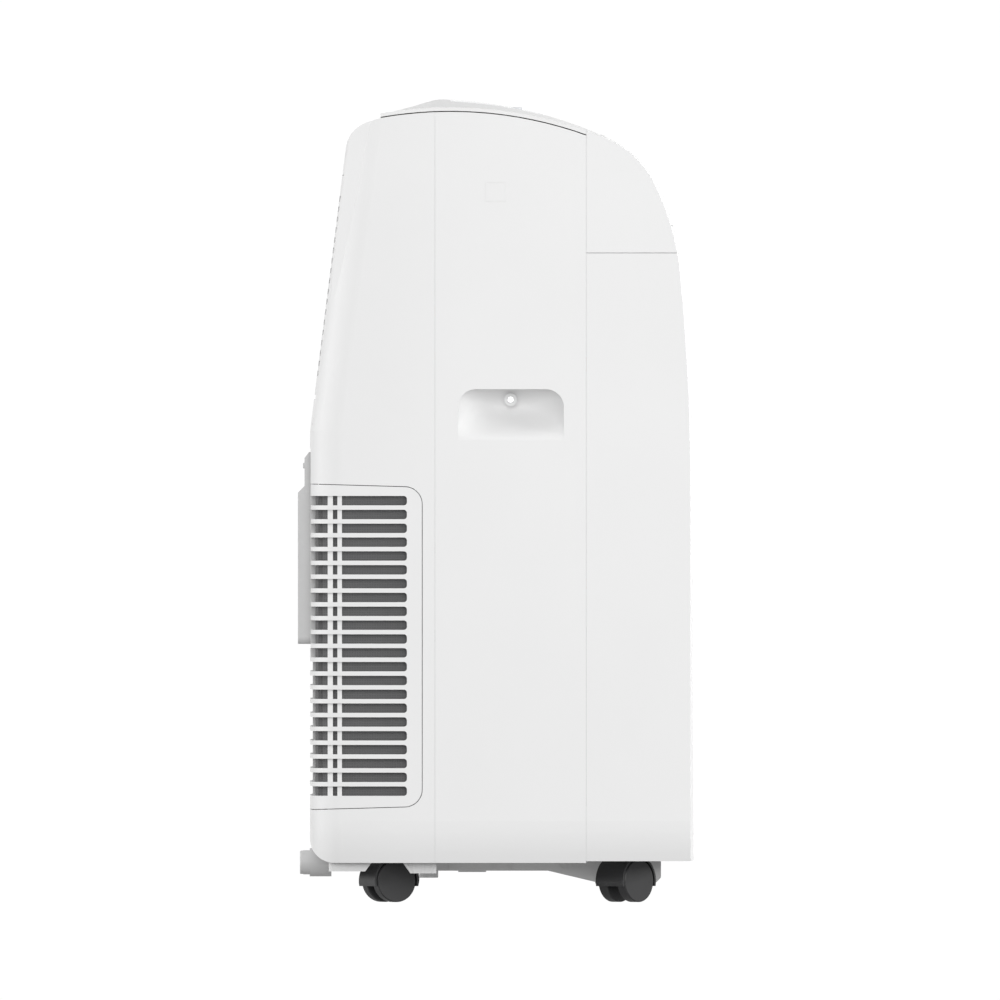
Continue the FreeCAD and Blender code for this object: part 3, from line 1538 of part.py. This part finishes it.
def control_box():
    """Electrical box with the run capacitor standing beside it."""
    shell_box = cut(box(("-150", "-62"), ("-152", "-92"), ("236", "372")),
                    box(("-147.5", "-64.5"), ("-149.5", "-94.5"), ("238.5", "369.5")))
    lid = box(("-152", "-60"), ("-92", "-90"), ("234", "374"))
    capacitor = rounded(rod("z", "17", ("150", "232"), ("-106", "-120")), "3", lambda edge: True)
    bracket = box(("-126", "-86"), ("-140", "-100"), ("232", "236"))
    return fuse(shell_box, lid, capacitor, bracket)


part("middle_deck", middle_deck())
part("evaporator_coil", evaporator_coil())
part("condenser_coil", condenser_coil())
part("exhaust_scroll", exhaust_scroll())
part("condenser_fan_wheel", condenser_fan_wheel())
part("condenser_fan_motor", condenser_fan_motor())
part("compressor", compressor())
part("compressor_mounts", compressor_mounts())
part("refrigerant_pipes", refrigerant_pipes())
part("control_box", control_box())


# ---------------------------------------------------------------- checks and export

doc.recompute()
for item in doc.Objects:
    if "Invalid" in item.State or "Error" in item.State:
        raise RuntimeError("%s (%s) failed: %s" % (item.Name, item.Label, item.State))
for item in PARTS:
    if item.Shape.isNull() or not item.Shape.isValid():
        raise RuntimeError("%s has no valid shape" % item.Label)
os.makedirs("parts", exist_ok=True)
for item in PARTS:
    item.Shape.exportStep(os.path.join("parts", item.Label + ".step"))
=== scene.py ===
import json
import math

import bmesh
import bpy
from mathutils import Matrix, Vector


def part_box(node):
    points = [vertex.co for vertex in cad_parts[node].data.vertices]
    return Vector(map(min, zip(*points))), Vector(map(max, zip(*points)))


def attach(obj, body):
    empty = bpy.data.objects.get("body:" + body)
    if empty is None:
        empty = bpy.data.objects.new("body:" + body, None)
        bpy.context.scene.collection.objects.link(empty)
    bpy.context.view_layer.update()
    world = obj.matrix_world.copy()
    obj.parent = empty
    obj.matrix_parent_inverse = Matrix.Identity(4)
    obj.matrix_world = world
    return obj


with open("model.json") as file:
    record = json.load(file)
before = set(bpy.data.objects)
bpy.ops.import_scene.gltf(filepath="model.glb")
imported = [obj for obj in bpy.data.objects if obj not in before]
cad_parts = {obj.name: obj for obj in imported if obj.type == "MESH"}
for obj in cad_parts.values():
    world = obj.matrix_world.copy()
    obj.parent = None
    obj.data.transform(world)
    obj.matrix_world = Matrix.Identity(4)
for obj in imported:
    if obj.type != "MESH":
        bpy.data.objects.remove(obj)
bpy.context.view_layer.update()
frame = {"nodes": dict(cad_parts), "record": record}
nodes = frame["nodes"]


def added(name, data):
    """A new object in the scene that shows data."""
    made = bpy.data.objects.new(name, data)
    bpy.context.scene.collection.objects.link(made)
    return made


# ------------------------------------------------------------------ materials

WAVE_PERIOD = math.pi / 10      # metres from band to band in a wave texture of scale 1
THREAD_PERIOD = 0.0022
FIN_PERIOD = 0.0036
TRACK_PERIOD = WAVE_PERIOD / 9

WHITE = (0.72, 0.72, 0.72)
GREY = (0.58, 0.58, 0.58)
DUCT = (0.50, 0.51, 0.53)


class Shader:
    """A material's node tree with short calls for the nodes used here."""

    def __init__(self, name):
        self.material = bpy.data.materials.new(name)
        self.material.use_nodes = True
        self.tree = self.material.node_tree
        self.surface = self.tree.nodes["Principled BSDF"]
        self.place = self.node("ShaderNodeTexCoord").outputs["Object"]

    def node(self, kind, **values):
        made = self.tree.nodes.new(kind)
        for key, value in values.items():
            if hasattr(made, key):
                setattr(made, key, value)
            else:
                made.inputs[key.replace("_", " ")].default_value = value
        return made

    def link(self, output, target):
        self.tree.links.new(output, target)

    def set(self, **values):
        for key, value in values.items():
            self.surface.inputs[key.replace("_", " ")].default_value = value

    def noise(self, scale, detail=2.0, stretch=None):
        made = self.node("ShaderNodeTexNoise", Scale=scale, Detail=detail)
        self.link(self.spread(stretch) if stretch else self.place, made.inputs["Vector"])
        return made.outputs["Fac"]

    def spread(self, scale):
        made = self.node("ShaderNodeMapping")
        made.inputs["Scale"].default_value = scale
        self.link(self.place, made.inputs["Vector"])
        return made.outputs["Vector"]

    def bands(self, period, axis):
        made = self.node("ShaderNodeTexWave", bands_direction=axis, wave_profile="SIN",
                         Scale=WAVE_PERIOD / period)
        self.link(self.place, made.inputs["Vector"])
        return made.outputs["Fac"]

    def mix(self, factor, one, two):
        made = self.node("ShaderNodeMix", data_type="RGBA")
        made.inputs[6].default_value = (*one, 1)
        made.inputs[7].default_value = (*two, 1)
        self.link(factor, made.inputs[0])
        return made.outputs[2]

    def remap(self, value, low, high):
        made = self.node("ShaderNodeMapRange")
        made.inputs["To Min"].default_value = low
        made.inputs["To Max"].default_value = high
        self.link(value, made.inputs["Value"])
        return made.outputs["Result"]

    def math(self, operation, one, two):
        made = self.node("ShaderNodeMath", operation=operation)
        for socket, value in zip(made.inputs, (one, two)):
            if isinstance(value, (int, float)):
                socket.default_value = value
            else:
                self.link(value, socket)
        return made.outputs[0]

    def colour(self, output):
        self.link(output, self.surface.inputs["Base Color"])

    def roughness(self, value, low, high):
        self.link(self.remap(value, low, high), self.surface.inputs["Roughness"])

    def bump(self, height, strength, distance):
        made = self.node("ShaderNodeBump", Strength=strength, Distance=distance)
        self.link(height, made.inputs["Height"])
        self.link(made.outputs["Normal"], self.surface.inputs["Normal"])


def shade(colour, factor):
    return tuple(min(1.0, channel * factor) for channel in colour)


def moulded(name, colour, rough, grain=2600.0, depth=0.00004, strength=0.12, drift=0.02, coat=0.0,
            sheen=0.5):
    """Injection-moulded plastic: spark-eroded grain, faint flow clouds and uneven gloss."""
    look = Shader(name)
    clouds = look.noise(9.0, 3.0)
    look.colour(look.mix(clouds, shade(colour, 1 - drift), shade(colour, 1 + drift)))
    look.roughness(look.noise(140.0, 2.0), rough - 0.04, rough + 0.05)
    look.bump(look.noise(grain, 1.0), strength, depth)
    look.set(IOR=1.5, Specular_IOR_Level=sheen, Coat_Weight=coat, Coat_Roughness=0.12)
    return look.material


def brushed(name, colour, rough, stretch=(900.0, 900.0, 30.0)):
    """Drawn or rolled metal with fine lines along one direction."""
    look = Shader(name)
    lines = look.noise(1.0, 3.0, stretch)
    look.colour(look.mix(lines, shade(colour, 0.88), shade(colour, 1.1)))
    look.roughness(lines, rough - 0.08, rough + 0.1)
    look.bump(lines, 0.15, 0.00003)
    look.set(Metallic=1.0)
    return look.material


def woven(name, colour, gap):
    """Filter cloth: square weave whose holes carry painted shade, darker than its threads."""
    look = Shader(name)
    across = look.bands(THREAD_PERIOD, "Y")
    up = look.bands(THREAD_PERIOD, "Z")
    threads = look.math("MAXIMUM", across, up)
    dust_and_hole_shade = look.math("MULTIPLY", threads, look.remap(look.noise(35.0, 4.0), 0.85, 1.05))
    # the gap colour is painted shade seen through the holes; the noise over the threads is dust
    look.colour(look.mix(dust_and_hole_shade, gap, colour))
    look.roughness(look.noise(60.0), 0.7, 0.9)
    look.bump(threads, 0.5, 0.0003)
    return look.material


def finned(name, axis):
    """Heat-exchanger face: a stack of thin bright fins, with painted shade in the gaps between them."""
    look = Shader(name)
    stack = look.bands(FIN_PERIOD, axis)
    fins_over_gap_shade = look.math("POWER", stack, 2.0)
    dents = look.noise(45.0, 3.0)
    # the near-black colour is painted shade between the fins; the bright colour is the fins' own aluminium
    look.colour(look.mix(fins_over_gap_shade, (0.03, 0.03, 0.032), (0.62, 0.63, 0.65)))
    look.roughness(dents, 0.3, 0.5)
    look.bump(look.math("ADD", fins_over_gap_shade, dents), 0.6, 0.0006)
    look.set(Metallic=0.85)
    return look.material


def board(name):
    """Green circuit board with tracks that show through its mask."""
    look = Shader(name)
    tracks = look.math("GREATER_THAN", look.bands(TRACK_PERIOD, "X"), 0.8)
    look.colour(look.mix(tracks, (0.012, 0.09, 0.035), (0.03, 0.2, 0.07)))
    look.roughness(look.noise(200.0), 0.25, 0.4)
    look.bump(tracks, 0.2, 0.00003)
    return look.material


def rubbery(name, colour):
    """Dull rubber or foam with a mottled, slightly rough skin."""
    look = Shader(name)
    look.colour(look.mix(look.noise(80.0, 3.0), shade(colour, 0.7), shade(colour, 1.4)))
    look.roughness(look.noise(300.0), 0.55, 0.75)
    look.bump(look.noise(1500.0), 0.25, 0.00006)
    return look.material


looks = {
    "casing_plastic": moulded("casing_white", WHITE, 0.5, sheen=0.25),
    "grille_plastic": moulded("grille_white", WHITE, 0.5, sheen=0.25),
    "base_plastic": moulded("base_grey", GREY, 0.5, drift=0.03),
    "duct_plastic": moulded("duct_grey", DUCT, 0.55, drift=0.05),
    "panel_plastic": moulded("panel_white", (0.76, 0.77, 0.78), 0.22, strength=0.03, coat=0.5),
    "display_plastic": moulded("display_smoke", (0.01, 0.01, 0.013), 0.09, strength=0.01, coat=1.0),
    "button_plastic": moulded("button_pearl", (0.62, 0.63, 0.65), 0.3, strength=0.05, coat=0.3),
    "circuit_board": board("solder_mask"),
    # the filter's second colour is painted shade in the holes of the weave
    "filter_mesh": woven("filter_cloth", (0.118, 0.118, 0.12), (0.096, 0.096, 0.098)),
    "fin_aluminium": finned("coil_fins_painted_gap_shade", "X"),
    "copper_tube": brushed("copper", (0.72, 0.33, 0.18), 0.3),
    "rotor_plastic": moulded("rotor_black", (0.02, 0.02, 0.022), 0.5, drift=0.1),
    "motor_steel": brushed("motor_zinc", (0.55, 0.55, 0.56), 0.38),
    "compressor_paint": moulded("compressor_black", (0.012, 0.012, 0.013), 0.3, grain=600.0, drift=0.2),
    "sheet_steel": brushed("galvanised", (0.58, 0.59, 0.6), 0.4, (60.0, 60.0, 60.0)),
    "screw_steel": brushed("screw_zinc", (0.6, 0.6, 0.61), 0.32, (900.0, 30.0, 900.0)),
    "rubber": rubbery("rubber_black", (0.02, 0.02, 0.02)),
    "caster_plastic": moulded("caster_black", (0.016, 0.016, 0.017), 0.42, drift=0.12),
    "wheel_plastic": moulded("wheel_black", (0.02, 0.02, 0.021), 0.5, drift=0.12),
}
for entry in frame["record"]["subparts"]:
    mesh = nodes[entry["node"]].data
    mesh.materials.clear()
    mesh.materials.append(looks[entry["material_slot"]])


# ------------------------------------------------------------------ marks, screw crosses of painted shade and seals

REACH = 0.02            # strokes are cast onto a surface from this far outside it
PROUD = 0.00004         # how far a stroke stands off the surface
CLOSED = 0.000001       # a stroke whose ends are this near is a ring
MARK = 0.0034
STROKE = 0.0006
SCREWS_APART = 0.012
CROSS_HALF = 0.0014
CROSS_WIDTH = 0.0007
FIGURE_WIDTH = 0.0075
FIGURE_HEIGHT = 0.0125
FIGURE_STROKE = 0.0011
FIGURE_GAP = 0.0004
TENS_LEFT = -0.0095
UNITS_LEFT = 0.0035
SEAL = 0.018
SEAL_REACH = 0.0125
SEAL_INSET = 0.003
SEAL_GAP = 0.0005
SEAL_EDGE = 0.0015
ACROSS = {"rear": ((-1, 0, 0), (0, 0, 1)), "top": ((1, 0, 0), (0, 1, 0))}


def separate(node, apart):
    """Middles of a node's solids, for solids that stand well apart."""
    groups = []
    for vertex in nodes[node].data.vertices:
        near = [group for group in groups if (group[0] - vertex.co).length < apart]
        if near:
            near[0].append(vertex.co)
        else:
            groups.append([vertex.co])
    return [sum(group, Vector()) / len(group) for group in groups]


def drape(name, node, body, origin, right, up, strokes, width, material, slot):
    """Lays thin strokes, drawn in a plane across a node, on the node's own surface."""
    right, up = Vector(right), Vector(up)
    outward = right.cross(up)
    points, faces = [], []
    for stroke in strokes:
        path = [Vector(spot) for spot in stroke]
        closed = (path[0] - path[-1]).length < CLOSED
        for number, spot in enumerate(path):
            before = path[number - 1] if number else (path[-2] if closed else spot)
            after = path[number + 1] if number + 1 < len(path) else (path[1] if closed else spot)
            run = (after - before).normalized()
            edge = Vector((-run.y, run.x)) * width / 2
            for flat in (spot - edge, spot + edge):
                start = origin + right * flat.x + up * flat.y + outward * REACH
                hit, place, normal, _ = nodes[node].ray_cast(start, -outward)
                points.append(place + normal * PROUD if hit else start - outward * REACH)
            if number:
                last = len(points) - 1
                faces.append((last - 3, last - 1, last, last - 2))
    mesh = bpy.data.meshes.new(name)
    mesh.from_pydata(points, [], faces)
    mesh.materials.append(material)
    piece = added(name, mesh)
    ink = piece.modifiers.new("ink", "SOLIDIFY")
    ink.thickness = 2 * PROUD
    ink.offset = -1.0
    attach(piece, body)


def arc(radius, start, end, steps=16, centre=(0.0, 0.0)):
    """Points along an arc, in degrees from the right-hand side."""
    turns = [math.radians(start + (end - start) * number / steps) for number in range(steps + 1)]
    return [(centre[0] + radius * math.cos(turn), centre[1] + radius * math.sin(turn)) for turn in turns]


def fan_mark(radius):
    """Three swept blades."""
    blades = []
    for turn in (90, 210, 330):
        tip = math.radians(turn)
        centre = (radius / 2 * math.cos(tip), radius / 2 * math.sin(tip))
        blades.append(arc(radius / 2, turn - 180, turn + 20, centre=centre))
    return blades


def mode_mark(radius):
    """A sun: a ring with eight rays."""
    rays = []
    for number in range(8):
        turn = math.radians(45 * number)
        rays.append([(reach * math.cos(turn), reach * math.sin(turn)) for reach in (radius * 0.65, radius)])
    return [arc(radius * 0.4, 0, 360), *rays]


def digit(shape, left):
    """A seven-segment figure; shape names its lit segments."""
    half = FIGURE_HEIGHT / 2
    gap = FIGURE_GAP
    right = left + FIGURE_WIDTH
    bars = {
        "a": ((left + gap, half), (right - gap, half)),
        "b": ((right, half - gap), (right, gap)),
        "c": ((right, -gap), (right, gap - half)),
        "d": ((left + gap, -half), (right - gap, -half)),
        "e": ((left, -gap), (left, gap - half)),
        "f": ((left, half - gap), (left, gap)),
        "g": ((left + gap, 0), (right - gap, 0)),
    }
    return [bars[key] for key in shape]


def top_middle(low, high):
    """Middle of the top of a box."""
    middle = (Vector(low) + Vector(high)) / 2
    middle.z = high[2]
    return middle


def marks():
    """Symbols on the buttons and figures in the display."""
    print_grey = moulded("print_grey", (0.10, 0.11, 0.12), 0.5, strength=0.02)
    chevron = [(-MARK * 0.8, -MARK * 0.4), (0.0, MARK * 0.4), (MARK * 0.8, -MARK * 0.4)]
    signs = {
        "power": [arc(MARK, 125, 415), [(0.0, MARK * 0.2), (0.0, MARK * 1.15)]],
        "mode": mode_mark(MARK),
        "fan": fan_mark(MARK),
        "down": [[(x, -y) for x, y in chevron]],
        "up": [chevron],
    }
    for name, strokes in signs.items():
        node = "button_" + name
        low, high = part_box(node)
        drape("mark_" + name, node, node, top_middle(low, high), *ACROSS["top"], strokes, STROKE,
              print_grey, "panel_plastic")

    lit = Shader("display_figures")
    glow = lit.noise(30.0)
    lit.colour(lit.mix(glow, (0.5, 0.8, 0.9), (0.7, 0.95, 1.0)))
    lit.roughness(lit.noise(200.0), 0.3, 0.4)
    lit.link(lit.mix(glow, (0.45, 0.8, 0.95), (0.6, 0.9, 1.0)), lit.surface.inputs["Emission Color"])
    lit.set(Emission_Strength=0.9)
    low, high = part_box("display_window")
    figures = digit("abged", TENS_LEFT) + digit("bcfg", UNITS_LEFT)
    drape("display_figures", "display_window", "cabinet", top_middle(low, high), *ACROSS["top"],
          figures, FIGURE_STROKE, lit.material, "display_plastic")


def screw_crosses():
    """A near-black cross laid on every rear screw head: painted shade that stands for the hollow of its
    drive.
    """
    # painted shade: the drive's recess is drawn as a near-black cross on the zinc head
    drive_shade = moulded("screw_drive_painted_shade", (0.05, 0.05, 0.052), 0.6)
    cross = [[(-CROSS_HALF, 0.0), (CROSS_HALF, 0.0)], [(0.0, -CROSS_HALF), (0.0, CROSS_HALF)]]
    for number, middle in enumerate(separate("rear_screws", SCREWS_APART)):
        drape("rear_screw_cross_%d" % number, "rear_screws", "cabinet", middle, *ACROSS["rear"],
              cross, CROSS_WIDTH, drive_shade, "screw_steel")


def foam_bar(name, low, high, material):
    """A block of sealing foam with slightly rounded edges."""
    mesh = bpy.data.meshes.new(name)
    form = bmesh.new()
    bmesh.ops.create_cube(form, size=1.0)
    low, high = Vector(low), Vector(high)
    for vertex in form.verts:
        vertex.co = (low + high) / 2 + (high - low) * vertex.co
    bmesh.ops.bevel(form, geom=form.edges, offset=SEAL_EDGE, segments=2, affect="EDGES")
    form.to_mesh(mesh)
    form.free()
    mesh.materials.append(material)
    piece = added(name, mesh)
    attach(piece, "cabinet")


def coil_seals():
    """Charcoal foam between the condenser's top and the deck, so that air goes through the coil; it also
    sits behind a casing gap, where its charcoal stands in as painted shade.
    """
    # the charcoal is the foam's own colour and also painted shade behind the casing gap
    gap_shade_foam = rubbery("foam_charcoal_painted_shade", (0.03, 0.03, 0.032))
    low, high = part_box("condenser_coil")
    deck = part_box("middle_deck")[0][2]
    for side in (-1, 1):
        outer, inner = side * (high[0] - SEAL_INSET), side * (high[0] - SEAL)
        foam_bar("coil_seal_%s" % ("left" if side < 0 else "right"),
                 (min(outer, inner), low[1] + SEAL_INSET, high[2] + SEAL_GAP),
                 (max(outer, inner), high[1] + SEAL_REACH, deck - SEAL_GAP), gap_shade_foam)


marks()
screw_crosses()
coil_seals()


# ------------------------------------------------------------------ studio

VIEW_CENTRE = Vector((-0.09, -0.0036, 0.3514))
VIEW_DISTANCE = 40.0
VIEW_WIDTH = 0.875
VIEW_NEAREST = 1.0
VIEW_FARTHEST = 300.0
SENSOR = 36.0
LIT_HEIGHT = 0.35

DIM_ENDS = 0.6          # strength of the world towards front, rear, top and bottom
BRIGHT_SIDES = 1.02     # and towards both sides
SIDE_SPAN = (0.3, 0.97)
DIM_FLOOR = 0.55        # share that is left of it from below
FLOOR_SPAN = (-0.4, -0.04)


def area_light(name, place, aim, across, power, tall=None):
    """A lamp at a place, turned to its aim: a square, or a strip of the height tall."""
    data = bpy.data.lights.new(name, "AREA")
    data.shape = "RECTANGLE"
    data.size = across
    data.size_y = tall or across
    data.energy = power
    lamp = added(name, data)
    lamp.location = place
    lamp.rotation_euler = (Vector(aim) - Vector(place)).to_track_quat("-Z", "Y").to_euler()


def backdrop():
    """A room that is white to both sides and dimmer elsewhere, so that corners keep their shape."""
    world = bpy.data.worlds.new("studio")
    world.use_nodes = True
    tree = world.node_tree

    def node(kind, **values):
        made = tree.nodes.new(kind)
        for key, value in values.items():
            setattr(made, key, value)
        return made

    def ramp(value, span, levels):
        made = node("ShaderNodeMapRange", interpolation_type="SMOOTHSTEP")
        for socket, number in zip(list(made.inputs)[1:5], (*span, *levels)):
            socket.default_value = number
        tree.links.new(value, made.inputs[0])
        return made.outputs[0]

    split = node("ShaderNodeSeparateXYZ")
    tree.links.new(node("ShaderNodeTexCoord").outputs["Generated"], split.inputs[0])
    aside = node("ShaderNodeMath", operation="ABSOLUTE")
    tree.links.new(split.outputs["X"], aside.inputs[0])
    both = node("ShaderNodeMath", operation="MULTIPLY")
    tree.links.new(ramp(aside.outputs[0], SIDE_SPAN, (DIM_ENDS, BRIGHT_SIDES)), both.inputs[0])
    tree.links.new(ramp(split.outputs["Z"], FLOOR_SPAN, (DIM_FLOOR, 1.0)), both.inputs[1])
    sky = tree.nodes["Background"]
    sky.inputs["Color"].default_value = (1, 1, 1, 1)
    tree.links.new(both.outputs[0], sky.inputs["Strength"])
    bpy.context.scene.world = world


def camera():
    """A very long lens level with the middle of the machine, square to its left side."""
    data = bpy.data.cameras.new("camera")
    data.sensor_width = SENSOR
    data.lens = SENSOR * VIEW_DISTANCE / VIEW_WIDTH
    data.clip_start = VIEW_NEAREST
    data.clip_end = VIEW_FARTHEST
    eye = added("camera", data)
    eye.location = VIEW_CENTRE - Vector((VIEW_DISTANCE, 0, 0))
    eye.rotation_euler = Vector((1, 0, 0)).to_track_quat("-Z", "Y").to_euler()
    bpy.context.scene.camera = eye


def studio():
    """Lamps, world, camera and a plain view transform."""
    middle = (0, 0, LIT_HEIGHT)
    area_light("key", (-2.9, 0.1, 1.0), middle, 1.6, 30.0)
    area_light("rear_strip", (0.1, 2.9, 0.7), middle, 0.4, 34.0, tall=2.2)
    area_light("front_graze", (-0.9, -2.7, 0.7), middle, 0.7, 30.0)
    area_light("far_side", (2.6, -1.6, 1.1), middle, 1.6, 34.0)
    area_light("top", (0.0, -0.2, 3.0), middle, 2.0, 6.0)
    backdrop()
    bpy.context.scene.view_settings.view_transform = "Standard"
    camera()


studio()
